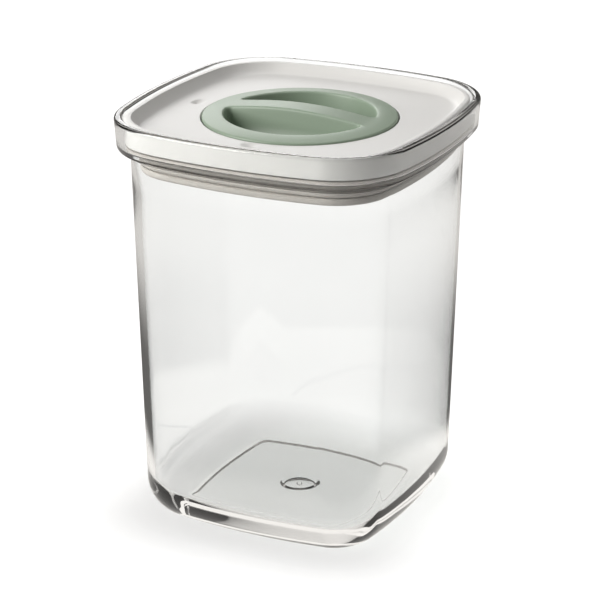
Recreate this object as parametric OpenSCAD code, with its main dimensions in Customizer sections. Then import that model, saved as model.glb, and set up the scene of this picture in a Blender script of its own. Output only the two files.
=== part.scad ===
// Clear square storage canister with a twist-lock lid.
// Z is up. The origin is the centre of the base, on the surface the canister stands on.
// All sizes are millimetres. The knob is drawn locked, with its grip along X.

/* [Container] */
// Width across the flat middles of the rim
rim_w = 110; // [90:1:160]
// Height from the foot to the top of the rim
height = 145; // [100:1:240]
// Radius of the rim's corners, seen from above
rim_corner_r = 27.4; // [22:0.2:34]
// Radius of the gently bowed sides of the rim, seen from above
side_r = 200; // [150:5:600]
// How far the body's wall stands inside the rim, just under the collar
shoulder = 5.2; // [3.5:0.1:7]
// How much each wall leans in from the collar to the foot
draft = 3.2; // [0:0.1:5]
// Wall thickness of the body
wall = 2.4; // [1.6:0.1:3]
// Wall thickness of the collar at the rim
collar_wall = 2.9; // [2:0.1:3.4]
// Height of the collar
collar_h = 11.3; // [10:0.1:16]
// Rounding of the rim's two edges
rim_round = 1.2; // [0.4:0.1:1.3]
// Rounding between the walls and the base, outside
foot_round = 13.5; // [6:0.5:15]
// Thickness of the floor
floor_t = 3.2; // [2:0.1:5]
// Depth of the hollow under the base that leaves a foot ring
foot_recess = 1.2; // [0.3:0.1:1.6]
// Radius of the round moulding mark in the middle of the floor
gate_r = 6.8; // [4:0.1:10]

/* [Lid] */
// Depth of the lid's flat top below the rim
plate_drop = 4.35; // [3:0.05:6]
// Thickness of the lid's top
plate_t = 2.2; // [1.6:0.1:2.6]
// Depth of the lip's crest below the rim
lip_drop = 0.8; // [0.4:0.1:1.5]
// Width of the lip's crest
lip_w = 2; // [1.4:0.1:2.6]
// Width of the slope from the lip down to the flat top
slope_w = 3.4; // [2:0.1:5]
// Thickness of the lid's skirt and of its inner walls
skin_t = 1.4; // [1.2:0.1:1.8]
// Depth of the plug's underside below the rim, with the knob locked
plug_drop = 18.4; // [18:0.1:26]
// Width of the gasket ring, from inside to outside
gasket_w = 3.6; // [2.4:0.1:4.5]

/* [Knob] */
// Radius of the knob
knob_r = 33.2; // [32:0.1:34]
// Width of the knob's flat ring, round the finger pockets
ring_w = 6.7; // [6.2:0.1:9]
// Width of the grip between the pockets
grip_w = 8; // [6:0.5:12]
// Height of the knob's ring above the lid's flat top
ring_rise = 1.3; // [0.5:0.1:1.8]
// Height of the middle of the grip above the lid's flat top
grip_rise = 3.5; // [2:0.1:4.2]
// Depth of the finger pockets below the lid's flat top
pocket_depth = 9; // [6:0.1:9.4]
// Angle between the locked and the open place of the knob
turn = 90; // [60:1:100]
// How far the pressure plate rises as the knob locks
travel = 2; // [1:0.1:2.6]

/* [Fits] */
// Gap between pieces that move past each other
clear_gap = 0.4; // [0.3:0.05:0.6]
// Gap between flat faces that slide on each other
slide_gap = 0.1; // [0.05:0.05:0.2]
// Gap round a screw or a pin in its own hole
hole_gap = 0.03; // [0.01:0.01:0.05]

/* [Hidden] */
$fn = 96;
tiny = 0.01;

// The outline, seen from above: four bowed sides and four corners, all tangent arcs.
half_w = rim_w / 2;
side_reach = side_r - half_w;
corner_c = (sqrt(2 * pow(side_r - rim_corner_r, 2) - pow(side_reach, 2)) - side_reach) / 2;
side_angle = atan2(corner_c, corner_c + side_reach);
side_steps = 6;
corner_steps = 8;

// Heights of the container
collar_z = height - collar_h;
ledge_t = 1.7;
ledge_z = collar_z + ledge_t;
floor_z = foot_recess + floor_t;
inner_round = foot_round - 1.5;
recess_in = shoulder + draft + foot_round + 2;
// The moulding mark: a disc that stands on the floor, over a dish under the base
gate_rise = 0.6;
gate_dish_r = gate_r - 1.6;
// The collar narrows the rim's opening by this much, and rounds out of the shoulder
collar_draft = 0.6;
collar_round = 1;

// Heights of the lid
plate_z = height - plate_drop;
plate_under = plate_z - plate_t;
flange_t = 1;
seam_gap = 0.5;
skirt_z = ledge_z + flange_t + seam_gap;
lip_round = 0.7;
plug_z = height - plug_drop;
tray_t = 1.6;
tray_top = plug_z + tray_t;
frame_floor_z = tray_top + clear_gap;
frame_floor_top = frame_floor_z + skin_t;

// Insets of the lid's walls from the rim's outline
skirt_in = collar_wall + collar_draft / 2 + clear_gap;
gasket_in = shoulder + wall + clear_gap;
guide_in = gasket_in + gasket_w + 0.3;
tray_in = gasket_in + 0.6;
gasket_z = tray_top + 0.8;

// Radius of the round that holds both finger pockets
pocket_r = knob_r - ring_w;

// Pan-head screws, the bosses that they drive into and the recesses that hide their heads
screw_r = 1.1;
head_r = 2.1;
head_h = 1.6;
slot_l = 2.4;
slot_w = 0.5;
slot_h = 0.8;
boss_r = 2.7;
boss_seat = 1.5;
head_gap = 0.15;
frame_head_in = 0.2;
drum_head_in = 0.1;

// The drum under the knob, and the knob's hole
drum_z = frame_floor_top + slide_gap;
drum_flange_t = head_h + 1;
drum_r = knob_r + 2.3;
drum_wall_r = knob_r + 0.3;
drum_top = plate_under - 0.25;
drum_bore_r = pocket_r - 0.5;
hole_r = knob_r + clear_gap;
frame_bore_r = drum_bore_r + 3;

// Two shallow marks in the lid's top show where the grip points
dimple_at = [[-hole_r - 5.4, 0], [0, -hole_r - 3.4]];
dimple_r = 3.2;
dimple_depth = 0.6;

// The cam ramps and the posts and pins that follow them
starts = 3;
start_angle = 45;
ramp_over = 6;
ramp_r = drum_r + 2.7;
ramp_t = 1.8;
pin_r = 1.2;
pin_gap = 0.15;
post_t = 2.4;
post_w = 6;
post_gap = 0.5;
post_r = ramp_r + 0.6;
post_top = plate_under - clear_gap;
pin_z = post_top - 0.4 - pin_r;
ramp_high = pin_z - pin_r - pin_gap;

// The knob
ring_z = plate_z + ring_rise;
grip_z = plate_z + grip_rise;
pocket_z = plate_z - pocket_depth;
knob_skin = 1.5;
knob_edge = 0.8;
grip_arch_r = (pow(pocket_r, 2) + pow(grip_z - ring_z, 2)) / (2 * (grip_z - ring_z));
pocket_lean = 1.5;
pocket_fillet = 4;
knob_boss_r = 2.3;

// Places and lengths of the screws
frame_screw_at = corner_c + (rim_corner_r - guide_in - skin_t - boss_r - 0.3) / sqrt(2);
frame_screw_l = plate_under - frame_floor_top - 1;
drum_screw_at = (pocket_r + knob_r - knob_skin) / 2 - 0.2;
drum_screw_l = 6;

// ---- Outline helpers ----

// The outline as points, drawn a set distance inside the rim's outline.
function outline_points(inset) = [
    for (k = [0:3]) each concat(
        [for (i = [0:side_steps - 1])
            let (a = side_angle * (2 * i / side_steps - 1), r = side_r - inset)
                turned([r * cos(a) - side_reach, r * sin(a)], 90 * k)],
        [for (i = [0:corner_steps - 1])
            let (a = side_angle + (90 - 2 * side_angle) * i / corner_steps, r = rim_corner_r - inset)
                turned([corner_c + r * cos(a), corner_c + r * sin(a)], 90 * k)])];

function turned(p, a) = [p[0] * cos(a) - p[1] * sin(a), p[0] * sin(a) + p[1] * cos(a)];

// Skins a run of outlines, each [inset, z]. The run closes on itself or ends in two flat caps.
module skin(rings, closed = false) {
    n = 4 * (side_steps + corner_steps);
    last = len(rings) - 1;
    points = [for (ring = rings, p = outline_points(ring[0])) [p[0], p[1], ring[1]]];
    walls = [for (i = [0:closed ? last : last - 1], j = [0:n - 1])
        let (a = i * n, b = (i == last ? 0 : i + 1) * n, k = (j + 1) % n)
            each [[a + j, b + j, b + k], [a + j, b + k, a + k]]];
    caps = closed ? [] : [[for (j = [0:n - 1]) j], [for (j = [n - 1:-1:0]) last * n + j]];
    polyhedron(points, concat(walls, caps), convexity = 6);
}

module outline(inset) {
    polygon(outline_points(inset));
}

// A slab of the outline, from one height to another.
module slab(inset, z0, z1) {
    translate([0, 0, z0]) linear_extrude(z1 - z0) outline(inset);
}

// A wall that follows the outline between two insets.
module outline_wall(inset_out, inset_in, z0, z1) {
    translate([0, 0, z0]) linear_extrude(z1 - z0) difference() {
        outline(inset_out);
        outline(inset_in);
    }
}

// Rings along an arc in the section about (inset, z), from one angle to another.
function arc(inset, z, r, from, to, steps) =
    [for (i = [0:steps]) let (a = from + (to - from) * i / steps) [inset - r * cos(a), z + r * sin(a)]];

// Inset of the body's leaning outer face at a height.
function wall_in(z) = shoulder + draft * (collar_z - z) / collar_z;

// ---- Container ----

// The container's skin, from the hollow under its base, up the outside and down the inside.
function body_rings() = let (
    floor_round_z = floor_z + inner_round
) concat(
    [[recess_in, foot_recess], [recess_in, 0]],
    arc(wall_in(foot_round) + foot_round, foot_round, foot_round, -90, 0, 6),
    [[shoulder, collar_z]],
    arc(collar_draft + collar_round, collar_z + collar_round, collar_round, -90, 0, 3),
    arc(rim_round, height - rim_round, rim_round, 0, 90, 3),
    arc(collar_wall - rim_round, height - rim_round, rim_round, 90, 180, 3),
    [[collar_wall + collar_draft / 2, ledge_z], [wall_in(ledge_z) + wall, ledge_z]],
    arc(wall_in(floor_round_z) + wall + inner_round, floor_round_z, inner_round, 0, -90, 6));

module container_body() {
    color([0.86, 0.89, 0.88], 0.35) difference() {
        union() {
            skin(body_rings());
            translate([0, 0, floor_z - 1]) cylinder(1 + gate_rise, gate_r, gate_r);
        }
        translate([0, 0, foot_recess - 1]) cylinder(1 + gate_rise, gate_dish_r, gate_dish_r);
    }
}

// ---- Lid ----

// The cover's skin, from its flat underside, round the skirt and lip and in to the flat top.
function cover_rings() = let (
    lip_z = height - lip_drop,
    lip_in = skirt_in + lip_w,
    slope_in = lip_in + slope_w
) concat(
    [[slope_in + 1, plate_under], [skirt_in + skin_t, lip_z - plate_t],
     [skirt_in + skin_t, skirt_z], [skirt_in, skirt_z]],
    arc(skirt_in + lip_round, lip_z - lip_round, lip_round, 0, 90, 3),
    [[lip_in, lip_z]],
    [for (t = [0.25:0.25:1]) [lip_in + slope_w * t, plate_z + (lip_z - plate_z) * pow(1 - t, 1.6)]]);

module lid_cover() {
    color([0.88, 0.88, 0.87]) difference() {
        union() {
            skin(cover_rings());
            frame_screw_places() translate([0, 0, frame_floor_top + boss_seat])
                cylinder(plate_under - frame_floor_top - boss_seat + plate_t / 2, boss_r, boss_r);
        }
        translate([0, 0, plate_under - 1]) cylinder(plate_t + 2, hole_r, hole_r);
        for (p = dimple_at)
            translate([p[0], p[1], plate_z + dimple_r - dimple_depth]) sphere(dimple_r);
        frame_screw_places() translate([0, 0, frame_floor_top])
            cylinder(frame_screw_l, screw_r + hole_gap, screw_r + hole_gap);
    }
}

module frame_screw_places() {
    for (k = [0:3])
        rotate(90 * k) translate([frame_screw_at, frame_screw_at, 0]) children();
}

module post_places() {
    for (k = [0:starts - 1])
        rotate(start_angle + k * 360 / starts) children();
}

// The inner frame closes the lid from below and carries the drum.
module lid_frame() {
    color([0.82, 0.81, 0.79]) difference() {
        union() {
            outline_wall(skirt_in + 0.1, guide_in + skin_t, ledge_z, ledge_z + flange_t);
            outline_wall(guide_in, guide_in + skin_t, frame_floor_z, ledge_z + flange_t);
            slab(guide_in + tiny, frame_floor_z, frame_floor_top);
            frame_screw_places() translate([0, 0, frame_floor_z])
                cylinder(skin_t + boss_seat, boss_r, boss_r);
        }
        translate([0, 0, frame_floor_z - 1]) cylinder(skin_t + 2, frame_bore_r, frame_bore_r);
        post_places() translate([post_r - post_gap, -post_w / 2 - post_gap, frame_floor_z - 1])
            cube([post_t + 2 * post_gap, post_w + 2 * post_gap, skin_t + 2]);
        frame_screw_places() translate([0, 0, frame_floor_z - tiny]) {
            cylinder(head_h + frame_head_in + tiny, head_r + head_gap, head_r + head_gap);
            cylinder(skin_t + 2, screw_r + hole_gap, screw_r + hole_gap);
        }
    }
}

// A silicone ring with two soft lips round its outside.
module seal_gasket() {
    tall = ledge_z - gasket_z;
    lip_r = tall / 5;
    lip_in = gasket_in + lip_r;
    color([0.78, 0.78, 0.77]) skin(concat(
        [[gasket_in + gasket_w, gasket_z], [lip_in, gasket_z]],
        arc(lip_in, gasket_z + 0.27 * tall, lip_r, -90, 90, 4),
        arc(lip_in, ledge_z - 0.27 * tall, lip_r, -90, 90, 4),
        [[lip_in, ledge_z], [gasket_in + gasket_w, ledge_z]]), closed = true);
}

module pressure_plate() {
    color([0.8, 0.79, 0.77]) difference() {
        union() {
            slab(tray_in, plug_z, tray_top);
            outline_wall(tray_in, gasket_in + gasket_w, tray_top - tiny, gasket_z);
            post_places() translate([post_r, -post_w / 2, tray_top - tiny])
                cube([post_t, post_w, post_top - tray_top + tiny]);
        }
        post_places() translate([post_r - 1, 0, pin_z]) rotate([0, 90, 0])
            cylinder(post_t + 2, pin_r + hole_gap, pin_r + hole_gap);
    }
}

module follower_pin(k) {
    color([0.7, 0.71, 0.72]) rotate(start_angle + k * 360 / starts)
        translate([drum_r + clear_gap, 0, pin_z]) rotate([0, 90, 0])
            cylinder(post_r + post_t - drum_r - clear_gap, pin_r, pin_r);
}

module frame_screw(k) {
    color([0.72, 0.73, 0.74]) rotate(90 * k) translate([frame_screw_at, frame_screw_at, 0])
        screw(frame_floor_z + frame_head_in, frame_screw_l + skin_t - head_h - frame_head_in);
}

// A pan-head screw that points up, with the underside of its head at z.
module screw(z, length) {
    translate([0, 0, z]) difference() {
        union() {
            cylinder(head_h, head_r, head_r);
            translate([0, 0, head_h - tiny]) cylinder(length, screw_r, screw_r);
        }
        for (a = [0, 90])
            rotate(a) translate([-slot_l / 2, -slot_w / 2, -tiny]) cube([slot_l, slot_w, slot_h]);
    }
}

// ---- Knob ----

// The round bowl that both finger pockets are cut from, grown by a skin.
module pocket_bowl(skin) {
    r = pocket_r + skin;
    z0 = pocket_z - skin;
    low_r = r - pocket_lean;
    fillet = pocket_fillet + skin;
    rotate_extrude() union() {
        translate([0, z0]) square([low_r - fillet, grip_z + 1 - z0]);
        translate([low_r - fillet, z0 + fillet]) circle(fillet);
        polygon([[0, z0 + fillet], [low_r, z0 + fillet], [r, ring_z], [r, grip_z + 1], [0, grip_z + 1]]);
    }
}

// Both pockets: the bowl without the grip between them.
module pockets(skin) {
    span = 2 * (pocket_r + skin) + 2;
    difference() {
        pocket_bowl(skin);
        translate([-span / 2, -(grip_w / 2 - skin), 0])
            cube([span, grip_w - 2 * skin, height + 10]);
    }
}

// The knob's outside, without its pockets.
module knob_block(skin) {
    r = knob_r - skin;
    base = drum_z + drum_flange_t;
    rotate_extrude() polygon([[0, base], [r, base], [r, plate_z - skin],
        [r - knob_edge, plate_z + knob_edge - skin], [pocket_r, ring_z - skin], [0, ring_z - skin]]);
    intersection() {
        translate([0, 0, grip_z - skin - grip_arch_r]) rotate([90, 0, 0])
            cylinder(grip_w - 2 * skin, grip_arch_r, grip_arch_r, center = true, $fn = 360);
        translate([-pocket_r, -grip_w / 2 + skin, plate_z - 2])
            cube([2 * pocket_r, grip_w - 2 * skin, grip_z]);
    }
}

module drum_screw_places() {
    for (k = [0:3])
        rotate(45 + 90 * k) translate([drum_screw_at, 0, 0]) children();
}

module knob() {
    color([0.6, 0.69, 0.58]) difference() {
        union() {
            difference() {
                knob_block(0);
                translate([0, 0, -tiny]) knob_block(knob_skin);
            }
            intersection() {
                pockets(knob_skin);
                union() {
                    knob_block(0);
                    translate([0, 0, drum_z]) cylinder(ring_z - drum_z - 1, drum_bore_r, drum_bore_r);
                }
            }
            drum_screw_places() translate([0, 0, drum_z + drum_flange_t])
                cylinder(plate_z - drum_z - drum_flange_t - 1, knob_boss_r, knob_boss_r);
        }
        pockets(0);
        drum_screw_places() translate([0, 0, drum_z])
            cylinder(drum_screw_l + head_h + 1, screw_r + hole_gap, screw_r + hole_gap);
    }
}

// One helical ramp: a ring sector whose top and bottom climb together.
module ramp() {
    steps = 24;
    sweep = turn + 2 * ramp_over;
    rise = travel / turn;
    function rung(i) = let (a = -turn - ramp_over + sweep * i / steps, z = ramp_high + rise * a)
        [for (p = [[drum_r - 0.5, z - ramp_t], [ramp_r, z - ramp_t], [ramp_r, z], [drum_r - 0.5, z]])
            [p[0] * cos(a), p[0] * sin(a), p[1]]];
    points = [for (i = [0:steps]) each rung(i)];
    faces = concat(
        [[3, 2, 1, 0]],
        [for (i = [0:steps - 1], j = [0:3]) let (b = 4 * i, n = (j + 1) % 4)
            each [[b + j, b + n, b + 4 + n], [b + j, b + 4 + n, b + 4 + j]]],
        [[4 * steps, 4 * steps + 1, 4 * steps + 2, 4 * steps + 3]]);
    polyhedron(points, faces, convexity = 4);
}

module cam_drum() {
    color([0.9, 0.9, 0.88]) difference() {
        union() {
            difference() {
                translate([0, 0, drum_z]) cylinder(drum_top - drum_z, drum_r, drum_r);
                translate([0, 0, drum_z + drum_flange_t])
                    cylinder(drum_top, drum_wall_r, drum_wall_r);
            }
            post_places() ramp();
        }
        translate([0, 0, drum_z - 1]) cylinder(drum_flange_t + 2, drum_bore_r + 0.3, drum_bore_r + 0.3);
        drum_screw_places() translate([0, 0, drum_z - tiny]) {
            cylinder(head_h + drum_head_in + tiny, head_r + head_gap, head_r + head_gap);
            cylinder(drum_flange_t + 1, screw_r + hole_gap, screw_r + hole_gap);
        }
    }
}

module drum_screw(k) {
    color([0.72, 0.73, 0.74]) rotate(45 + 90 * k) translate([drum_screw_at, 0, 0])
        screw(drum_z + drum_head_in, drum_screw_l);
}

container_body();
lid_cover();
lid_frame();
seal_gasket();
pressure_plate();
knob();
cam_drum();
for (k = [0:2])
    follower_pin(k);
for (k = [0:3])
    drum_screw(k);
for (k = [0:3])
    frame_screw(k);
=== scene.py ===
"""Looks for the square storage canister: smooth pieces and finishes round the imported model."""

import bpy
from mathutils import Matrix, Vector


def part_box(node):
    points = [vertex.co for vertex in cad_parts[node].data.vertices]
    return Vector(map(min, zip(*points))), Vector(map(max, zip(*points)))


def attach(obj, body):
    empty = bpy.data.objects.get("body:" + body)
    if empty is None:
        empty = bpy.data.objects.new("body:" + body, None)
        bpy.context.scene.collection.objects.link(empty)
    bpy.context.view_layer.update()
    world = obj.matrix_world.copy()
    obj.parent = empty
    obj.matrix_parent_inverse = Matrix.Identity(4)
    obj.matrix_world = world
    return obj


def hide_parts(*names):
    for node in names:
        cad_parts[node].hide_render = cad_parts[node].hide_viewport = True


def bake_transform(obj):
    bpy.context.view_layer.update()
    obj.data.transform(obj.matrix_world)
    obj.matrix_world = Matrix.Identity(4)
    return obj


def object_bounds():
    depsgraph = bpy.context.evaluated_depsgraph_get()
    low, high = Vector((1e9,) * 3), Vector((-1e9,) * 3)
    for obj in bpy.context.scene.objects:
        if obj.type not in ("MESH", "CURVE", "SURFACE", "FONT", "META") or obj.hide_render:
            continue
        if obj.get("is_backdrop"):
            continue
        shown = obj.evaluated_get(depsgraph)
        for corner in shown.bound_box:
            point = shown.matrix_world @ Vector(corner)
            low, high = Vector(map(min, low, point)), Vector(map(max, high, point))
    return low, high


bl_info = {
    "name": "Square Storage Canister",
    "version": (1, 0, 0),
    "blender": (4, 5, 0),
    "location": "View3D > Sidebar > Canister",
    "description": "Builds a clear square canister with a twist-lock lid and its studio",
    "category": "Add Mesh",
}

import math

import bmesh
import bpy
from bpy.props import FloatProperty, FloatVectorProperty, PointerProperty
from bpy.types import Operator, Panel, PropertyGroup
from mathutils import Matrix, Vector, geometry

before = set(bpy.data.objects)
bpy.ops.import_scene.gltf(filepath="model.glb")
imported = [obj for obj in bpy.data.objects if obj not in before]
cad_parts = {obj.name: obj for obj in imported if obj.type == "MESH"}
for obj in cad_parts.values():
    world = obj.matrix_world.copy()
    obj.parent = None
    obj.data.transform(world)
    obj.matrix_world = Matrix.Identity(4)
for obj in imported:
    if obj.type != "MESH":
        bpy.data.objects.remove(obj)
CAD_LOW, CAD_HIGH = (Vector(corner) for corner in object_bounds())
MM = 0.001


# ---- Sizes: some read from the imported model, the rest given ----

def node_low(node):
    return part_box(node)[0]


def node_high(node):
    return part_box(node)[1]


RIM_TOP = CAD_HIGH.z
COVER_THICK = 2.2 * MM
TRAY_THICK = 1.6 * MM
HUB_RADIUS = 12 * MM
DIMPLES = ((-39 * MM, 0.0), (0.0, -37 * MM))
DIMPLE_RADIUS = 2.1 * MM
DIMPLE_DEPTH = 0.9 * MM
DRUM_LOW = node_low("cam_drum").z


# ---- Settings ----

class CanisterBody(PropertyGroup):
    half_width: FloatProperty(
        name="Half width", description="Half the width of the rim", subtype="DISTANCE",
        default=(CAD_HIGH.x - CAD_LOW.x) / 2)
    corner: FloatProperty(
        name="Corner radius", description="Radius of the rim's corners, seen from above",
        subtype="DISTANCE", default=27.4 * MM)
    side: FloatProperty(
        name="Side radius", description="Radius of the bowed sides of the rim, seen from above",
        subtype="DISTANCE", default=200 * MM)
    shoulder: FloatProperty(
        name="Shoulder", description="How far the wall stands inside the rim, under the collar",
        subtype="DISTANCE", default=5.2 * MM)
    draft: FloatProperty(
        name="Draft", description="How much each wall leans in from the collar to the foot",
        subtype="DISTANCE", default=3.2 * MM)
    wall: FloatProperty(
        name="Wall", description="Thickness of the body's wall", subtype="DISTANCE", default=2.4 * MM)
    collar_wall: FloatProperty(
        name="Collar wall", description="Thickness of the collar at the rim", subtype="DISTANCE",
        default=2.9 * MM)
    collar_height: FloatProperty(
        name="Collar height", description="Height of the collar", subtype="DISTANCE",
        default=11.3 * MM)
    foot_round: FloatProperty(
        name="Foot rounding", description="Rounding between the walls and the base",
        subtype="DISTANCE", default=13.5 * MM)
    floor: FloatProperty(
        name="Floor", description="Thickness of the floor", subtype="DISTANCE", default=3.2 * MM)
    foot_recess: FloatProperty(
        name="Foot recess", description="Depth of the hollow under the base", subtype="DISTANCE",
        default=1.2 * MM)
    mark: FloatProperty(
        name="Moulding mark", description="Radius of the round mark in the middle of the floor",
        subtype="DISTANCE", default=6.8 * MM)
    tint: FloatVectorProperty(
        name="Tint", description="Colour that the clear plastic gives to light", subtype="COLOR",
        size=3, min=0, max=1, default=(0.935, 0.940, 0.936))


class CanisterLid(PropertyGroup):
    plate_drop: FloatProperty(
        name="Top depth", description="Depth of the lid's flat top below the rim",
        subtype="DISTANCE", default=4.35 * MM)
    lip_drop: FloatProperty(
        name="Lip depth", description="Depth of the lip's crest below the rim",
        subtype="DISTANCE", default=0.8 * MM)
    skirt_inset: FloatProperty(
        name="Skirt inset", description="How far the skirt stands inside the rim's outline",
        subtype="DISTANCE", default=3.6 * MM)
    colour: FloatVectorProperty(
        name="Lid colour", description="Colour of the lid's top", subtype="COLOR", size=3,
        min=0, max=1, default=(0.72, 0.715, 0.70))
    inner_colour: FloatVectorProperty(
        name="Inner colour", description="Colour of the gasket, tray and frame", subtype="COLOR",
        size=3, min=0, max=1, default=(0.50, 0.47, 0.44))


class CanisterKnob(PropertyGroup):
    radius: FloatProperty(
        name="Radius", description="Radius of the knob", subtype="DISTANCE",
        default=node_high("knob").x)
    ring: FloatProperty(
        name="Ring width", description="Width of the ring round the pockets", subtype="DISTANCE",
        default=6.7 * MM)
    grip: FloatProperty(
        name="Grip width", description="Width of the grip between the pockets",
        subtype="DISTANCE", default=8 * MM)
    ring_rise: FloatProperty(
        name="Ring rise", description="Height of the ring above the lid's top",
        subtype="DISTANCE", default=1.3 * MM)
    grip_rise: FloatProperty(
        name="Grip rise", description="Height of the grip's middle above the lid's top",
        subtype="DISTANCE", default=3.5 * MM)
    pocket_depth: FloatProperty(
        name="Pocket depth", description="Depth of the pockets below the lid's top",
        subtype="DISTANCE", default=9 * MM)
    colour: FloatVectorProperty(
        name="Knob colour", description="Colour of the knob", subtype="COLOR", size=3,
        min=0, max=1, default=(0.285, 0.36, 0.275))


class CanisterStudio(PropertyGroup):
    azimuth: FloatProperty(
        name="Azimuth", description="Camera's turn round the canister", subtype="ANGLE",
        default=math.radians(26.1))
    elevation: FloatProperty(
        name="Elevation", description="Camera's height above the horizon", subtype="ANGLE",
        default=math.radians(21.2))
    distance: FloatProperty(
        name="Distance", description="Camera's distance from its target", subtype="DISTANCE",
        default=0.7737)
    target_height: FloatProperty(
        name="Target height", description="Height that the camera looks at", subtype="DISTANCE",
        default=0.0741)
    lens: FloatProperty(
        name="Lens", description="Focal length in millimetres", default=133.4, min=20, max=300)
    key: FloatProperty(
        name="Key light", description="Power of the soft lamp at the left, in watts", default=26.0,
        min=0)
    top: FloatProperty(
        name="Top light", description="Power of the soft lamp overhead, in watts", default=6.0, min=0)
    back: FloatProperty(
        name="Back light", description="Power of the soft lamp behind, in watts", default=4.0, min=0)
    surround: FloatProperty(
        name="Surround", description="Strength of the dim light from all round", default=0.14, min=0)
    floor_radius: FloatProperty(
        name="Floor radius", description="Radius of the pale floor", subtype="DISTANCE", default=1.1)
    floor_glow: FloatProperty(
        name="Floor glow", description="How brightly the floor itself shines", default=0.70, min=0)
    contact: FloatProperty(
        name="Contact shade", description="Share of the floor's glow that is left under the canister",
        default=0.5, min=0, max=1)
    floor_mirror: FloatProperty(
        name="Floor mirror", description="How bright the floor looks in reflections", default=0.55,
        min=0)
    floor_bounce: FloatProperty(
        name="Floor bounce", description="How brightly the floor lights the pieces", default=0.18,
        min=0)


# ---- Outline and skinning ----

SIDE_STEPS = 32
CORNER_STEPS = 24


def outline_shape(body):
    """The side arcs' reach past the middle, the corners' centre and the angle where they meet."""
    reach = body.side - body.half_width
    corner = (math.sqrt(2 * (body.side - body.corner) ** 2 - reach ** 2) - reach) / 2
    return reach, corner, math.atan2(corner, corner + reach)


def outline(body, inset, z):
    """The rounded square, drawn a distance inside the rim's outline, as points at one height."""
    reach, centre, meet = outline_shape(body)
    quarter = []
    for i in range(SIDE_STEPS):
        a = meet * (2 * i / SIDE_STEPS - 1)
        r = body.side - inset
        quarter.append((r * math.cos(a) - reach, r * math.sin(a)))
    for i in range(CORNER_STEPS):
        a = meet + (math.pi / 2 - 2 * meet) * i / CORNER_STEPS
        r = body.corner - inset
        quarter.append((centre + r * math.cos(a), centre + r * math.sin(a)))
    turns = [(1, 0), (0, 1), (-1, 0), (0, -1)]
    return [Vector((x * c - y * s, x * s + y * c, z)) for c, s in turns for x, y in quarter]


def circle_like(points, radius, z):
    """A circle whose points stand at the same angles as those of an outline."""
    return [Vector((p.x, p.y, 0)).normalized() * radius + Vector((0, 0, z)) for p in points]


def between(first, second, share):
    return [a.lerp(b, share) for a, b in zip(first, second)]


def arc(x, z, radius, start, end, steps):
    """(inset, height) pairs along an arc in the section; insets grow towards the middle."""
    pairs = []
    for i in range(steps + 1):
        a = math.radians(start + (end - start) * i / steps)
        pairs.append((x - radius * math.cos(a), z + radius * math.sin(a)))
    return pairs


def skin(bm, rings, closed=False, first_pole=None, last_pole=None):
    """Joins rings of points with quads; the run closes on itself or ends in poles."""
    rows = [[bm.verts.new(p) for p in ring] for ring in rings]
    pairs = list(zip(rows, rows[1:])) + ([(rows[-1], rows[0])] if closed else [])
    for low, high in pairs:
        for j in range(len(low)):
            k = (j + 1) % len(low)
            bm.faces.new((low[j], low[k], high[k], high[j]))
    for row, pole, flip in ((rows[0], first_pole, True), (rows[-1], last_pole, False)):
        if pole is None:
            continue
        tip = bm.verts.new(pole)
        for j in range(len(row)):
            k = (j + 1) % len(row)
            bm.faces.new((row[k], row[j], tip) if flip else (row[j], row[k], tip))


def new_piece(name, bm, material, body, smooth_angle=50):
    """Turns a bmesh into a named piece that rides on a CAD body, if one is given."""
    bmesh.ops.recalc_face_normals(bm, faces=bm.faces)
    mesh = bpy.data.meshes.new(name)
    bm.to_mesh(mesh)
    bm.free()
    piece = bpy.data.objects.new(name, mesh)
    bpy.context.scene.collection.objects.link(piece)
    mesh.materials.append(material)
    mesh.shade_smooth()
    mesh.set_sharp_from_angle(angle=math.radians(smooth_angle))
    if body:
        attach(piece, body)
    return piece


# ---- Materials ----

def node_group(name, inputs, outputs):
    """A new shader node group with float inputs and outputs; returns it with its two ends."""
    group = bpy.data.node_groups.new(name, "ShaderNodeTree")
    for title, default in inputs:
        socket = group.interface.new_socket(title, in_out="INPUT", socket_type="NodeSocketFloat")
        socket.default_value = default
    for title in outputs:
        group.interface.new_socket(title, in_out="OUTPUT", socket_type="NodeSocketFloat")
    start = group.nodes.new("NodeGroupInput")
    end = group.nodes.new("NodeGroupOutput")
    return group, start, end


def maths(tree, kind, first, second=None, third=None, clamp=False):
    node = tree.nodes.new("ShaderNodeMath")
    node.operation = kind
    node.use_clamp = clamp
    for i, value in enumerate((first, second, third)):
        if value is None:
            continue
        if isinstance(value, (int, float)):
            node.inputs[i].default_value = value
        else:
            tree.links.new(value, node.inputs[i])
    return node.outputs[0]


def noise(tree, vector, scale, detail=3.0, roughness=0.5, distortion=0.0):
    node = tree.nodes.new("ShaderNodeTexNoise")
    node.inputs["Detail"].default_value = detail
    node.inputs["Roughness"].default_value = roughness
    node.inputs["Distortion"].default_value = distortion
    tree.links.new(vector, node.inputs["Vector"])
    if isinstance(scale, (int, float)):
        node.inputs["Scale"].default_value = scale
    else:
        tree.links.new(scale, node.inputs["Scale"])
    return node.outputs["Fac"]


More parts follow.
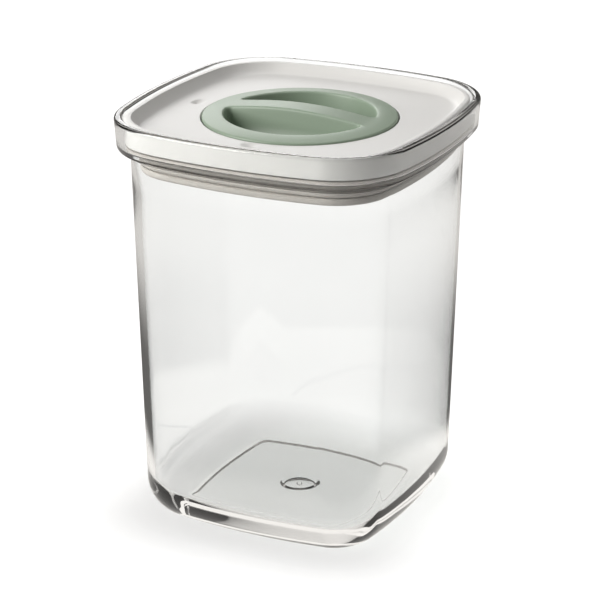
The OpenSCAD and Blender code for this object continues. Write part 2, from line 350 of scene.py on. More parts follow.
def spark_grain_group():
    """The fine even grain of a spark-eroded mould: a height and a slight change of tone."""
    group, start, end = node_group(
        "spark_grain", [("Grain per metre", 5200.0), ("Tone", 0.05)], ["Height", "Shade"])
    place = group.nodes.new("ShaderNodeTexCoord").outputs["Object"]
    fine = noise(group, place, start.outputs["Grain per metre"], 2.0, 0.6)
    coarse_scale = maths(group, "MULTIPLY", start.outputs["Grain per metre"], 0.31)
    coarse = noise(group, place, coarse_scale, 2.0, 0.55)
    height = maths(group, "ADD", maths(group, "MULTIPLY", fine, 0.6),
                   maths(group, "MULTIPLY", coarse, 0.4))
    swing = maths(group, "MULTIPLY", maths(group, "SUBTRACT", height, 0.5),
                  start.outputs["Tone"])
    group.links.new(height, end.inputs["Height"])
    group.links.new(maths(group, "ADD", swing, 1.0), end.inputs["Shade"])
    return group


def handling_group():
    """Faint smears from handling, as a mask from 0 to 1."""
    group, start, end = node_group("handling_marks", [("Smears per metre", 26.0)], ["Smears"])
    place = group.nodes.new("ShaderNodeTexCoord").outputs["Object"]
    smear = noise(group, place, start.outputs["Smears per metre"], 4.0, 0.62, 0.6)
    smears = maths(group, "MULTIPLY", maths(group, "SUBTRACT", smear, 0.5), 3.2, clamp=True)
    group.links.new(smears, end.inputs["Smears"])
    return group


GROUPS = {}


def groups():
    if not GROUPS:
        GROUPS["grain"] = spark_grain_group()
        GROUPS["handling"] = handling_group()
    return GROUPS


def place_group(tree, key, **values):
    node = tree.nodes.new("ShaderNodeGroup")
    node.node_tree = groups()[key]
    for title, value in values.items():
        node.inputs[title.replace("_", " ")].default_value = value
    return node


def fresh_material(name):
    material = bpy.data.materials.new(name)
    material.use_nodes = True
    tree = material.node_tree
    shader = tree.nodes["Principled BSDF"]
    return material, tree, shader


def bump(tree, shader, height, distance, strength=1.0):
    node = tree.nodes.new("ShaderNodeBump")
    node.inputs["Strength"].default_value = strength
    node.inputs["Distance"].default_value = distance
    tree.links.new(height, node.inputs["Height"])
    tree.links.new(node.outputs["Normal"], shader.inputs["Normal"])


def tinted(tree, colour, shade, shader):
    """Base colour times a shade that changes over the surface."""
    mix = tree.nodes.new("ShaderNodeVectorMath")
    mix.operation = "SCALE"
    mix.inputs[0].default_value = tuple(colour)
    tree.links.new(shade, mix.inputs["Scale"])
    tree.links.new(mix.outputs[0], shader.inputs["Base Color"])


def moulded_plastic(name, colour, roughness, grain=5200.0, depth=0.012 * MM, tone=0.06,
                    smear_rough=0.06, specular=0.5):
    """Opaque moulded plastic with a mould grain, slight tone and handling smears."""
    material, tree, shader = fresh_material(name)
    grain_node = place_group(tree, "grain", Grain_per_metre=grain, Tone=tone)
    marks = place_group(tree, "handling")
    rough = maths(tree, "ADD", maths(tree, "MULTIPLY", marks.outputs["Smears"], smear_rough),
                  roughness)
    tree.links.new(rough, shader.inputs["Roughness"])
    tinted(tree, colour, grain_node.outputs["Shade"], shader)
    shader.inputs["Specular IOR Level"].default_value = specular
    bump(tree, shader, grain_node.outputs["Height"], depth)
    return material


def clear_plastic(name, tint):
    """Polished clear plastic; lamps' rays pass straight through it."""
    material, tree, shader = fresh_material(name)
    shader.inputs["Base Color"].default_value = (*tint, 1)
    shader.inputs["Transmission Weight"].default_value = 1.0
    shader.inputs["IOR"].default_value = 1.52
    marks = place_group(tree, "handling", Smears_per_metre=34.0)
    rough = maths(tree, "ADD", maths(tree, "MULTIPLY", marks.outputs["Smears"], 0.025), 0.012)
    tree.links.new(rough, shader.inputs["Roughness"])
    place = tree.nodes.new("ShaderNodeTexCoord").outputs["Object"]
    streaks = tree.nodes.new("ShaderNodeMapping")
    streaks.inputs["Scale"].default_value = (1.0, 1.0, 0.06)
    tree.links.new(place, streaks.inputs["Vector"])
    flow = maths(tree, "ADD", noise(tree, place, 30.0, 0.0),
                 noise(tree, streaks.outputs["Vector"], 95.0, 0.0))
    bump(tree, shader, flow, 0.03 * MM, 0.5)
    out = tree.nodes["Material Output"]
    clear = tree.nodes.new("ShaderNodeBsdfTransparent")
    clear.inputs["Color"].default_value = (0.93, 0.94, 0.935, 1)
    path = tree.nodes.new("ShaderNodeLightPath")
    mix = tree.nodes.new("ShaderNodeMixShader")
    tree.links.new(path.outputs["Is Shadow Ray"], mix.inputs["Fac"])
    tree.links.new(shader.outputs["BSDF"], mix.inputs[1])
    tree.links.new(clear.outputs["BSDF"], mix.inputs[2])
    tree.links.new(mix.outputs["Shader"], out.inputs["Surface"])
    return material


def soft_silicone(name, colour):
    """Milky silicone rubber with a soft sheen, fine grain and a slight scatter."""
    material, tree, shader = fresh_material(name)
    grain_node = place_group(tree, "grain", Grain_per_metre=3000.0, Tone=0.08)
    marks = place_group(tree, "handling", Smears_per_metre=90.0)
    rough = maths(tree, "ADD", maths(tree, "MULTIPLY", marks.outputs["Smears"], 0.12), 0.42)
    tree.links.new(rough, shader.inputs["Roughness"])
    tinted(tree, colour, grain_node.outputs["Shade"], shader)
    shader.inputs["Subsurface Weight"].default_value = 0.25
    shader.inputs["Subsurface Radius"].default_value = (1.0, 0.9, 0.8)
    shader.inputs["Subsurface Scale"].default_value = 1.2 * MM
    bump(tree, shader, grain_node.outputs["Height"], 0.01 * MM)
    return material


def turned_steel(name):
    """Bright steel with a fine grain."""
    material, tree, shader = fresh_material(name)
    shader.inputs["Metallic"].default_value = 1.0
    marks = place_group(tree, "handling", Smears_per_metre=400.0)
    grain_node = place_group(tree, "grain", Grain_per_metre=9000.0, Tone=0.15)
    tinted(tree, (0.62, 0.62, 0.60), grain_node.outputs["Shade"], shader)
    rough = maths(tree, "ADD", maths(tree, "MULTIPLY", marks.outputs["Smears"], 0.15), 0.22)
    tree.links.new(rough, shader.inputs["Roughness"])
    bump(tree, shader, grain_node.outputs["Height"], 0.004 * MM)
    return material


# ---- Pieces ----

def settings():
    scene = bpy.context.scene
    return scene.canister_body, scene.canister_lid, scene.canister_knob, scene.canister_studio


def wall_inset(body, z):
    """Inset of the leaning outer wall at a height."""
    collar_z = RIM_TOP - body.collar_height
    return body.shoulder + body.draft * (collar_z - z) / collar_z


def build_container(body):
    """One closed skin: under the base, up the outside, over the rim and down the inside."""
    collar_z = RIM_TOP - body.collar_height
    ledge_z = collar_z + 1.7 * MM
    recess = body.foot_recess
    floor_z = recess + body.floor
    foot = body.foot_round
    inner = foot - 1.5 * MM
    edge = 1.2 * MM
    lean = 0.6 * MM
    recess_in = body.shoulder + body.draft + foot + 2 * MM

    def ring(inset, z):
        return outline(body, inset, z)

    def disc(radius, z):
        return circle_like(ring(0, 0), radius, z)

    def flat(inset, z, radius):
        """Rings from a round hole in the middle out to an outline, in one plane."""
        edge_ring, hole = ring(inset, z), disc(radius, z)
        return [between(hole, edge_ring, s) for s in (0.0, 0.12, 0.3, 0.5, 0.7, 0.86, 0.95, 1.0)]

    pairs = [(recess_in - 0.35 * MM, recess - 0.1 * MM), (recess_in - 0.5 * MM, 0.15 * MM),
             (recess_in - 0.75 * MM, 0.0)]
    pairs += arc(wall_inset(body, foot) + foot, foot, foot, -90, 0, 18)
    for i in range(1, 8):
        z = foot + (collar_z - foot) * i / 8
        pairs.append((wall_inset(body, z), z))
    pairs += [(wall_inset(body, collar_z - 1.2 * MM), collar_z - 1.2 * MM)]
    pairs += arc(body.shoulder - 0.8 * MM, collar_z - 0.8 * MM, -0.8 * MM, 0, 90, 5)
    pairs += arc(lean + 1.6 * MM, collar_z + 1.6 * MM, 1.6 * MM, -90, 0, 9)
    pairs += [(lean * 0.5, collar_z + body.collar_height * 0.55)]
    pairs += arc(edge, RIM_TOP - edge, edge, 0, 90, 9)
    pairs += arc(body.collar_wall - edge, RIM_TOP - edge, edge, 90, 180, 9)
    in_ledge = body.collar_wall + lean / 2
    pairs += [(in_ledge - 0.1 * MM, (RIM_TOP + ledge_z) / 2)]
    pairs += arc(in_ledge + 0.6 * MM, ledge_z + 0.6 * MM, 0.6 * MM, 0, -90, 5)
    wall_in = wall_inset(body, ledge_z) + body.wall
    pairs += arc(wall_in - 0.7 * MM, ledge_z - 0.7 * MM, -0.7 * MM, -90, -180, 5)
    for i in range(7, 0, -1):
        z = floor_z + inner + (ledge_z - floor_z - inner) * i / 8
        pairs.append((wall_inset(body, z) + body.wall, z))
    low = floor_z + inner
    pairs += arc(wall_inset(body, low) + body.wall + inner, low, inner, 0, -90, 18)

    dish = body.mark - 1.6 * MM
    rise = 0.6 * MM
    nub = 0.9 * MM
    under = [disc(nub * 0.8, recess + 0.1 * MM), disc(nub, recess + 0.25 * MM),
             disc(nub + 0.15 * MM, recess + rise), disc(dish - 0.6 * MM, recess + rise),
             disc(dish - 0.15 * MM, recess + rise - 0.15 * MM), disc(dish, recess + 0.1 * MM),
             disc(dish + 0.12 * MM, recess)]
    under += flat(recess_in, recess, dish + 1 * MM)
    top = floor_z + rise
    over = flat(pairs[-1][0] + 0.4 * MM, floor_z, body.mark + 0.8 * MM)[::-1]
    over += [disc(body.mark + 0.25 * MM, floor_z), disc(body.mark, floor_z + 0.08 * MM)]
    over += [disc(body.mark - 0.35 * MM, top - 0.12 * MM), disc(body.mark - 0.8 * MM, top)]
    over += [disc(body.mark * 0.6, top - 0.02 * MM), disc(body.mark * 0.25, top - 0.04 * MM)]
    rings = under + [ring(i, z) for i, z in pairs] + over
    bm = bmesh.new()
    skin(bm, rings, first_pole=(0, 0, recess + 0.1 * MM), last_pole=(0, 0, top - 0.05 * MM))
    piece = new_piece("clear_container", bm, clear_plastic("clear_body", body.tint), "container", 35)
    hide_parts("container_body")


def build_cover(body, lid, knob):
    """The lid's top: hole edge, flat top with two dimples, slope, lip and skirt."""
    flat_steps, slope_steps = 26, 12
    plate = RIM_TOP - lid.plate_drop
    under = plate - COVER_THICK
    lip = RIM_TOP - lid.lip_drop
    skirt_low = RIM_TOP - body.collar_height + 3.2 * MM
    hole = knob.radius + 0.4 * MM
    lip_in = lid.skirt_inset + 2.0 * MM
    slope_w = 3.4 * MM

    def ring(inset, z):
        return outline(body, inset, z)

    def disc(radius, z):
        return circle_like(ring(0, 0), radius, z)

    slope_in = lip_in + slope_w
    rings = [disc(hole, under), disc(hole, plate - 0.25 * MM), disc(hole + 0.08 * MM, plate - 0.08 * MM),
             disc(hole + 0.25 * MM, plate)]
    first = disc(hole + 0.6 * MM, plate)
    last = ring(slope_in + 0.5 * MM, plate)
    first_flat = len(rings)
    rings += [between(first, last, i / flat_steps) for i in range(flat_steps + 1)]
    for i in range(1, slope_steps + 1):
        t = i / slope_steps
        rise = (lip - plate) * t ** 1.7
        rings.append(ring(slope_in - slope_w * t, plate + rise))
    rings.append(ring(lip_in - 0.35 * MM, lip + 0.05 * MM))
    rings += [ring(i, z) for i, z in arc(lid.skirt_inset + 0.8 * MM, lip - 0.75 * MM, 0.8 * MM, 90, 0, 8)]
    rings += [ring(lid.skirt_inset + 0.1 * MM, (lip + skirt_low) / 2)]
    rings += [ring(i, z) for i, z in
              arc(lid.skirt_inset + 0.45 * MM, skirt_low + 0.35 * MM, 0.35 * MM, 0, -90, 4)]
    inner = lid.skirt_inset + 1.5 * MM
    rings += [ring(inner - 0.2 * MM, skirt_low), ring(inner, skirt_low + 0.2 * MM),
              ring(inner + 0.1 * MM, lip - 3.0 * MM), ring(inner + 1.5 * MM, under + 0.8 * MM),
              ring(slope_in + 1 * MM, under)]
    for points in rings[first_flat:first_flat + flat_steps + 1]:
        for p in points:
            p.z -= dimple(p, plate)
    bm = bmesh.new()
    skin(bm, rings, closed=True)
    finish = moulded_plastic("satin_white", lid.colour, 0.40, 4200.0, 0.006 * MM, 0.025, 0.05, 0.4)
    piece = new_piece("cover", bm, finish, "lid", 40)
    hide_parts("lid_cover")
    return finish


def dimple(point, plate):
    """Depth of the two shallow marks that show where the grip stands."""
    depth = 0.0
    if abs(point.z - plate) > 0.01 * MM:
        return depth
    for x, y in DIMPLES:
        away = math.hypot(point.x - x, point.y - y) / DIMPLE_RADIUS
        if away < 1:
            depth += DIMPLE_DEPTH * (1 - away * away) ** 0.7
    return depth


# ---- Knob ----

POCKET_ARC, POCKET_TURN, POCKET_CHORD = 72, 10, 44
GRIP_BLEND = 3.4 * MM


def pocket_loop(radius, half_grip, turn, inset):
    """A half-moon, drawn a distance inside its edge, as x, y pairs round the +Y pocket."""
    r = radius - inset
    base = half_grip + inset
    q = max(turn - inset, 0.35 * MM)
    cx = math.sqrt(max((r - q) ** 2 - (base + q) ** 2, 1e-12))
    cy = base + q
    meet = math.atan2(cy, cx)
    points = []
    for i in range(POCKET_ARC):
        a = meet + (math.pi - 2 * meet) * i / POCKET_ARC
        points.append((r * math.cos(a), r * math.sin(a)))
    down = 1.5 * math.pi
    for side, start, end in ((-1, math.pi - meet, down), (1, down, 2 * math.pi + meet)):
        if side == 1:
            for i in range(POCKET_CHORD):
                points.append((-cx + 2 * cx * i / POCKET_CHORD, base))
        for i in range(POCKET_TURN):
            a = start + (end - start) * i / POCKET_TURN
            points.append((side * cx + q * math.cos(a), cy + q * math.sin(a)))
    return points


def knob_height(knob, x, y, plate):
    """Height of the knob's top: a ring that falls gently outwards and an arched grip."""
    pocket = knob.radius - knob.ring
    r = math.hypot(x, y)
    share = min(max((r - pocket) / knob.ring, 0.0), 1.0)
    z = plate + knob.ring_rise - 0.75 * MM * share ** 1.6
    fade = 1 - min(max((abs(y) - knob.grip / 2) / GRIP_BLEND, 0.0), 1.0)
    arch = max(1 - (x / pocket) ** 2, 0.0) ** 1.2 * fade * fade * (3 - 2 * fade)
    return z + (knob.grip_rise - knob.ring_rise) * arch


def build_knob(lid, knob):
    """The top sheet, the two half-moon pockets, the side and a closed base."""
    plate = RIM_TOP - lid.plate_drop
    pocket = knob.radius - knob.ring
    half_grip = knob.grip / 2
    turn = 2.4 * MM
    floor_z = plate - knob.pocket_depth
    rim_round = 0.9 * MM
    edge = 0.8 * MM
    bm = bmesh.new()

    def height(x, y):
        return knob_height(knob, x, y, plate)

    top_radius = knob.radius - edge
    around = 192
    circle = [(top_radius * math.cos(2 * math.pi * i / around),
               top_radius * math.sin(2 * math.pi * i / around)) for i in range(around)]
    front = pocket_loop(pocket, half_grip, turn, 0.0)
    loops = [circle, front, [(x, -y) for x, y in front]]
    flat = [Vector(p) for loop in loops for p in loop]
    edges, start = [], 0
    for loop in loops:
        n = len(loop)
        edges += [(start + i, start + (i + 1) % n) for i in range(n)]
        start += n
    flat += inner_points(pocket, half_grip, turn, top_radius)
    points, _, faces, origins, _, _ = geometry.delaunay_2d_cdt(flat, edges, [], 0, 1e-7)
    verts = [bm.verts.new((p.x, p.y, height(p.x, p.y))) for p in points]
    where = {}
    for new_index, sources in enumerate(origins):
        for source in sources:
            where[source] = new_index
    for face in faces:
        mid = sum((points[i] for i in face), Vector((0, 0))) / len(face)
        if math.hypot(*mid) < top_radius and not in_pocket(mid, pocket, half_grip, turn):
            bm.faces.new([verts[i] for i in face])

    profile = pocket_profile(plate, floor_z, knob, rim_round)
    offset = around
    for mirror in (1, -1):
        row = [verts[where[offset + i]] for i in range(len(front))]
        rim = [v.co.z for v in row]
        top = plate + knob.ring_rise
        for inset, drop in profile:
            share = min(drop / (top - floor_z), 1.0)
            ring = pocket_loop(pocket, half_grip, turn, inset)
            new_row = [bm.verts.new((x, mirror * y, (rim[i] - top) * (1 - share) + top - drop))
                       for i, (x, y) in enumerate(ring)]
            join(bm, row, new_row)
            row = new_row
        centre = sum((v.co for v in row), Vector()) / len(row)
        tip = bm.verts.new(centre)
        for i in range(len(row)):
            bm.faces.new((row[i], row[(i + 1) % len(row)], tip))
        offset += len(front)

    row = [verts[where[i]] for i in range(around)]
    base_z = DRUM_LOW + 2.65 * MM
    bowl = pocket - 0.6 * MM
    low_z = floor_z - 1.4 * MM
    fall = height(top_radius, 0)
    side = [(top_radius + edge * math.sin(a), fall - edge * (1 - math.cos(a)))
            for a in (math.radians(15 * i) for i in range(1, 7))]
    side += [(knob.radius, plate - 1.5 * MM), (knob.radius, base_z), (knob.radius - 0.3 * MM, base_z),
             (bowl, base_z), (bowl - 0.3 * MM, low_z + 1.5 * MM), (bowl - 2.2 * MM, low_z)]
    for r, z in side:
        new_row = [bm.verts.new((r * math.cos(2 * math.pi * i / around),
                                 r * math.sin(2 * math.pi * i / around), z)) for i in range(around)]
        join(bm, row, new_row)
        row = new_row
    tip = bm.verts.new((0, 0, low_z))
    for i in range(around):
        bm.faces.new((row[i], row[(i + 1) % around], tip))
    finish = moulded_plastic("sage_matt", knob.colour, 0.38, 3600.0, 0.016 * MM, 0.10, 0.06, 0.5)
    piece = new_piece("twist_knob", bm, finish, "knob", 45)
    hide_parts("knob")


def join(bm, low, high):
    for i in range(len(low)):
        k = (i + 1) % len(low)
        bm.faces.new((low[i], low[k], high[k], high[i]))


def in_pocket(point, pocket, half_grip, turn, margin=0.0):
    """True inside either half-moon, or within a margin of one."""
    x, y = abs(point[0]), abs(point[1])
    if math.hypot(x, y) > pocket + margin or y < half_grip - margin:
        return False
    cx = math.sqrt((pocket - turn) ** 2 - (half_grip + turn) ** 2)
    cy = half_grip + turn
    beyond_corner = x > cx and y < cy + (x - cx) * cy / cx
    if beyond_corner:
        return math.hypot(x - cx, y - cy) < turn + margin
    return True


def inner_points(pocket, half_grip, turn, top_radius):
    """Points of the ring and the grip, away from their edges, so that the top sheet curves evenly."""
    points = []
    for row in range(1, 6):
        r = pocket + (top_radius - pocket) * row / 6
        count = 150
        for i in range(count):
            a = 2 * math.pi * (i + 0.5 * (row % 2)) / count
            points.append(Vector((r * math.cos(a), r * math.sin(a))))
    step = 1.1 * MM
    across = int(pocket / step)
    for i in range(-across, across + 1):
        for j in range(-6, 7):
            p = Vector((i * step, j * step * 0.6))
            if p.length < pocket - 0.3 * MM and not in_pocket(p, pocket, half_grip, turn, 0.5 * MM):
                points.append(p)
    return points


def pocket_profile(plate, floor_z, knob, rim_round):
    """(inset, drop) pairs from a pocket's rim, down its wall and out over its floor."""
    total = plate + knob.ring_rise - floor_z
    bowl = 6.2 * MM
    lean = math.radians(9)
    sweep = math.pi / 2 - lean
    pairs = []
    for i in range(1, 8):
        a = sweep * i / 7
        pairs.append((rim_round * math.sin(a) * 0.9, rim_round * (1 - math.cos(a))))
    inset, drop = pairs[-1]
    straight = total - bowl * (1 - math.sin(lean)) - drop
    for i in range(1, 5):
        pairs.append((inset + straight * math.tan(lean) * i / 4, drop + straight * i / 4))
    inset, drop = pairs[-1]
    for i in range(1, 13):
        a = lean + sweep * i / 12
        pairs.append((inset + bowl * (math.cos(lean) - math.cos(a)),
                      drop + bowl * (math.sin(a) - math.sin(lean))))
    inset, drop = pairs[-1]
    pairs += [(inset + 0.8 * MM, total), (inset + 1.7 * MM, total)]
    return pairs


# ---- Inner pieces ----

def build_gasket(body, lid):
    """Silicone ring with two soft lips."""
    low, high = node_low("seal_gasket"), node_high("seal_gasket")
    tall = high.z - low.z
    out_in = body.half_width - high.x
    back = out_in + 3.6 * MM
    lip = tall / 5
    core = out_in + lip
    pairs = [(back, low.z + 0.2 * MM), (back - 0.2 * MM, low.z), (core + 0.3 * MM, low.z)]
    pairs += arc(core, low.z + 0.27 * tall, lip, -80, 80, 10)
    pairs += arc(core, high.z - 0.27 * tall, lip, -80, 80, 10)
    pairs += [(core + 0.3 * MM, high.z), (back - 0.2 * MM, high.z), (back, high.z - 0.2 * MM)]
    bm = bmesh.new()
    skin(bm, [outline(body, i, z) for i, z in pairs], closed=True)
    piece = new_piece("gasket_ring", bm, soft_silicone("milky_silicone", lid.inner_colour), None, 60)
    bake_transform(piece)
    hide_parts("seal_gasket")


def build_pressure_plate(body, lid, finish):
    """The tray that closes the lid from below, with a rounded rim and three posts."""
    low, high = node_low("pressure_plate"), node_high("pressure_plate")
    out_in = body.half_width - high.x
    thick = TRAY_THICK
    rim_z = low.z + thick + 0.8 * MM
    rim_back = out_in + 3.0 * MM

    def ring(inset, z):
        return outline(body, inset, z)

    bottom = [(out_in + 1.2 * MM, low.z)]
    bottom += arc(out_in + 1.1 * MM, low.z + 1.1 * MM, 1.1 * MM, -90, 0, 8)[1:]
    bottom += [(out_in, rim_z - 0.3 * MM), (out_in + 0.3 * MM, rim_z), (rim_back - 0.2 * MM, rim_z),
               (rim_back, rim_z - 0.2 * MM), (rim_back, low.z + thick), (rim_back + 3 * MM, low.z + thick)]
    under = outline(body, out_in + 2.5 * MM, low.z)
    hub = circle_like(under, HUB_RADIUS, low.z)
    top = outline(body, rim_back + 4 * MM, low.z + thick)
    rings = [between(hub, under, s) for s in (0, 0.25, 0.5, 0.75, 1.0)]
    rings += [ring(i, z) for i, z in bottom]
    top_hub = circle_like(top, HUB_RADIUS, low.z + thick)
    rings += [between(top, top_hub, s) for s in (0, 0.25, 0.5, 0.75, 1.0)]
    bm = bmesh.new()
    skin(bm, rings, first_pole=(0, 0, low.z), last_pole=(0, 0, low.z + thick))
    for k in range(3):
        add_post(bm, math.radians(45 + 120 * k), low.z + thick - 0.2 * MM, high.z)
    piece = new_piece("plug_tray", bm, finish, "plate", 45)
    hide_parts("pressure_plate")


def add_post(bm, angle, low, high):
    """One upright post that holds a follower pin."""
    reach, thick, wide = 38.8 * MM, 2.4 * MM, 6 * MM
    size = Matrix.Diagonal((thick, wide, high - low, 1))
    spot = Matrix.Rotation(angle, 4, "Z") @ Matrix.Translation((reach + thick / 2, 0, (low + high) / 2))
    made = bmesh.ops.create_cube(bm, size=1.0, matrix=spot @ size)
    sides = list({e for v in made["verts"] for e in v.link_edges})
    bmesh.ops.bevel(bm, geom=sides, offset=0.25 * MM, segments=2, profile=0.5, affect="EDGES")


def finish_cad_nodes(lid):
    """Finishes for the inner parts that keep their CAD shapes."""
    inner = moulded_plastic("satin_inner", lid.inner_colour, 0.5, 4200.0, 0.008 * MM, 0.04)
    slick = moulded_plastic("slick_drum", (0.8, 0.8, 0.77), 0.3, 4200.0, 0.004 * MM, 0.03)
    steel = turned_steel("turned_steel")
    for name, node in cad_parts.items():
        if name == "lid_frame":
            chosen = inner
        elif name == "cam_drum":
            chosen = slick
        elif "screw" in name or "pin" in name:
            chosen = steel
        else:
            continue
        node.data.materials.clear()
        node.data.materials.append(chosen)
    return inner


# ---- Studio ----

LAMP_AIM = 0.1
FLOOR_SHIFT = (-0.18, 0.42, 0)
CONTACT_INNER, CONTACT_OUTER = 0.036, 0.074
# Distances and gain of the painted reflection: how the floor's brightness in reflections changes with
# distance from the origin
NEAR_FADE = (0.10, 0.08)
FAR_FADE = (0.16, 0.30)
NEAR_GAIN = 1.5
MIRROR_LEAST = 0.14


def build_studio(studio):
    """Dim surround, bright pale floor, soft lamps and the camera."""
    scene = bpy.context.scene
    world = bpy.data.worlds.new("dim_surround")
    world.use_nodes = True
    surround = world.node_tree.nodes["Background"]
    surround.inputs["Color"].default_value = (1.0, 0.95, 0.90, 1)
    surround.inputs["Strength"].default_value = studio.surround
    scene.world = world
    scene.view_settings.view_transform = "Standard"
    build_floor(studio)
    add_lamp("key", (-1.00, -1.05, 0.80), (1.1, 1.1), studio.key, (1.0, 0.985, 0.965))
    add_lamp("top", (0.1, 0.3, 1.35), (0.9, 0.9), studio.top, (1.0, 1.0, 1.0))
    add_lamp("back", (-0.85, 1.05, 0.62), (0.8, 0.5), studio.back, (1.0, 1.0, 1.0))

    back = Vector((math.sin(studio.azimuth) * math.cos(studio.elevation),
                   -math.cos(studio.azimuth) * math.cos(studio.elevation),
                   math.sin(studio.elevation)))
    data = bpy.data.cameras.new("camera")
    data.sensor_width = 36
    data.lens = studio.lens
    camera = bpy.data.objects.new("camera", data)
    camera.location = Vector((0, 0, studio.target_height)) + back * studio.distance
    camera.rotation_euler = (-back).to_track_quat("-Z", "Y").to_euler()
    scene.collection.objects.link(camera)
    scene.camera = camera


def build_floor(studio):
    """A pale floor: it glows when seen directly or through clear plastic, lights the pieces less
    than that, and looks dim in reflections, which draws the dark edges of clear plastic."""
    bm = bmesh.new()
    bmesh.ops.create_circle(bm, cap_ends=True, radius=studio.floor_radius, segments=96)
    bmesh.ops.translate(bm, verts=bm.verts, vec=FLOOR_SHIFT)
    mesh = bpy.data.meshes.new("floor")
    bm.to_mesh(mesh)
    bm.free()
    floor = bpy.data.objects.new("floor", mesh)
    bpy.context.scene.collection.objects.link(floor)
    material, tree, shader = fresh_material("pale_floor")
    shader.inputs["Base Color"].default_value = (0.5, 0.5, 0.5, 1)
    shader.inputs["Roughness"].default_value = 0.9
    shader.inputs["Specular IOR Level"].default_value = 0.0
    shader.inputs["Emission Color"].default_value = (1, 1, 1, 1)
    path = tree.nodes.new("ShaderNodeLightPath")
    place = tree.nodes.new("ShaderNodeTexCoord").outputs["Object"]
    seen = maths(tree, "MAXIMUM", path.outputs["Is Camera Ray"], path.outputs["Is Transmission Ray"])
    shade = maths(tree, "MULTIPLY_ADD", contact_shade(tree, place), 1 - studio.contact, studio.contact)
    full = maths(tree, "MULTIPLY", shade, studio.floor_glow)
    glow = maths(tree, "MULTIPLY", maths(tree, "SUBTRACT", full, studio.floor_bounce), seen)
    tree.links.new(maths(tree, "ADD", glow, studio.floor_bounce), shader.inputs["Emission Strength"])
    dim = tree.nodes.new("ShaderNodeEmission")
    dim.inputs["Color"].default_value = (1.0, 0.97, 0.93, 1)
    # Painted reflection: in reflections the floor's brightness is painted by distance from the origin. It
    # is bright close round the canister, dark in a ring beyond that, and brighter again farther out.
    reach = tree.nodes.new("ShaderNodeVectorMath")
    reach.operation = "LENGTH"
    tree.links.new(place, reach.inputs[0])
    inner = fall_off(tree, reach.outputs["Value"], *NEAR_FADE)
    outer = fall_off(tree, reach.outputs["Value"], *FAR_FADE)
    bright = maths(tree, "MULTIPLY", maths(tree, "MULTIPLY_ADD", inner, NEAR_GAIN, outer),
                   studio.floor_mirror)
    tree.links.new(maths(tree, "ADD", bright, MIRROR_LEAST), dim.inputs["Strength"])
    mirrored = maths(tree, "MINIMUM", path.outputs["Glossy Depth"], 1.0)
    mix = tree.nodes.new("ShaderNodeMixShader")
    tree.links.new(mirrored, mix.inputs["Fac"])
    tree.links.new(shader.outputs["BSDF"], mix.inputs[1])
    tree.links.new(dim.outputs["Emission"], mix.inputs[2])
    tree.links.new(mix.outputs["Shader"], tree.nodes["Material Output"].inputs["Surface"])
    mesh.materials.append(material)
    floor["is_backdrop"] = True


def contact_shade(tree, place):
    """A painted contact shadow: a rounded-square mask fixed at the origin, 0 under the canister."""
    parts = tree.nodes.new("ShaderNodeSeparateXYZ")
    tree.links.new(place, parts.inputs["Vector"])
    fourth = [maths(tree, "POWER", maths(tree, "ABSOLUTE", parts.outputs[axis]), 4.0)
              for axis in ("X", "Y")]
    square = maths(tree, "POWER", maths(tree, "ADD", *fourth), 0.25)
    return fall_off(tree, square, CONTACT_INNER, CONTACT_OUTER)


def fall_off(tree, distance, nothing, full):
    """A smooth mask of a distance: 0 at one place and 1 at the other."""
    node = tree.nodes.new("ShaderNodeMapRange")
    node.interpolation_type = "SMOOTHSTEP"
    node.inputs["From Min"].default_value = nothing
    node.inputs["From Max"].default_value = full
    tree.links.new(distance, node.inputs["Value"])
    return node.outputs["Result"]


def add_lamp(name, place, size, power, colour):
    """A soft rectangular lamp that faces the canister."""
    lamp = bpy.data.lights.new(name, "AREA")
    lamp.shape = "RECTANGLE"
    lamp.size, lamp.size_y = size
    lamp.energy = power
    lamp.color = colour
    holder = bpy.data.objects.new(name, lamp)
    holder.location = place
    aim = Vector((0, 0, LAMP_AIM)) - holder.location
    holder.rotation_euler = aim.to_track_quat("-Z", "Y").to_euler()
    holder.visible_transmission = False
    bpy.context.scene.collection.objects.link(holder)


# ---- Operators ----

class CANISTER_OT_body(Operator):
    """Build the clear container"""
    bl_idname = "canister.body"
    bl_label = "Clear container"

    def execute(self, context):
        body, _, _, _ = settings()
        build_container(body)
        return {"FINISHED"}


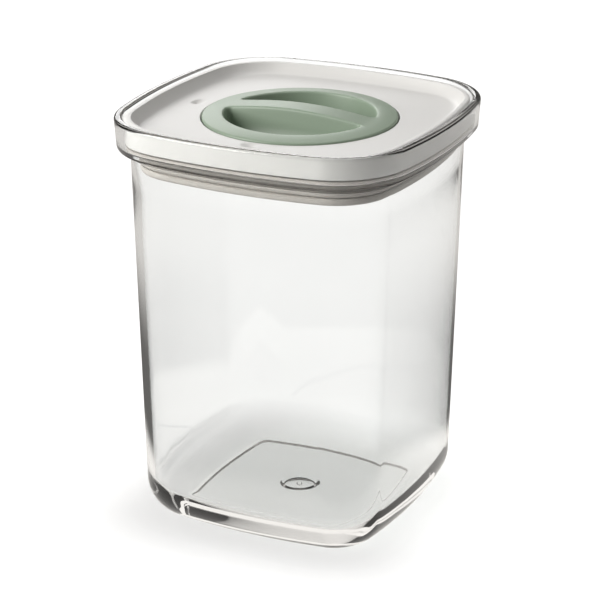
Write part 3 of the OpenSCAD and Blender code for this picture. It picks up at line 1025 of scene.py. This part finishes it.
class CANISTER_OT_lid(Operator):
    """Build the lid's cover, gasket and tray, and finish its inner parts"""
    bl_idname = "canister.lid"
    bl_label = "Lid"

    def execute(self, context):
        body, lid, knob, _ = settings()
        build_cover(body, lid, knob)
        inner = finish_cad_nodes(lid)
        build_gasket(body, lid)
        build_pressure_plate(body, lid, inner)
        return {"FINISHED"}


class CANISTER_OT_knob(Operator):
    """Build the twist knob"""
    bl_idname = "canister.knob"
    bl_label = "Twist knob"

    def execute(self, context):
        _, lid, knob, _ = settings()
        build_knob(lid, knob)
        return {"FINISHED"}


class CANISTER_OT_studio(Operator):
    """Build the floor, lights and camera"""
    bl_idname = "canister.studio"
    bl_label = "Studio"

    def execute(self, context):
        build_studio(settings()[3])
        return {"FINISHED"}


class CANISTER_PT_sidebar(Panel):
    """Lists the canister's steps and settings"""
    bl_idname = "CANISTER_PT_sidebar"
    bl_label = "Canister"
    bl_space_type = "VIEW_3D"
    bl_region_type = "UI"
    bl_category = "Canister"

    def draw(self, context):
        layout = self.layout
        for operator in OPERATORS:
            layout.operator(operator.bl_idname)
        for group in settings():
            box = layout.box()
            for name in group.bl_rna.properties.keys():
                if name not in {"rna_type", "name"}:
                    box.prop(group, name)


OPERATORS = (CANISTER_OT_body, CANISTER_OT_lid, CANISTER_OT_knob, CANISTER_OT_studio)
GROUP_CLASSES = (CanisterBody, CanisterLid, CanisterKnob, CanisterStudio)
CLASSES = GROUP_CLASSES + OPERATORS + (CANISTER_PT_sidebar,)


def register():
    for cls in CLASSES:
        bpy.utils.register_class(cls)
    scene_type = bpy.types.Scene
    scene_type.canister_body = PointerProperty(type=CanisterBody)
    scene_type.canister_lid = PointerProperty(type=CanisterLid)
    scene_type.canister_knob = PointerProperty(type=CanisterKnob)
    scene_type.canister_studio = PointerProperty(type=CanisterStudio)


def unregister():
    for name in ("canister_body", "canister_lid", "canister_knob", "canister_studio"):
        delattr(bpy.types.Scene, name)
    for cls in reversed(CLASSES):
        bpy.utils.unregister_class(cls)


def main():
    register()
    bpy.ops.canister.studio()
    bpy.ops.canister.body()
    bpy.ops.canister.lid()
    bpy.ops.canister.knob()
    bpy.context.view_layer.update()


if __name__ == "__main__":
    main()
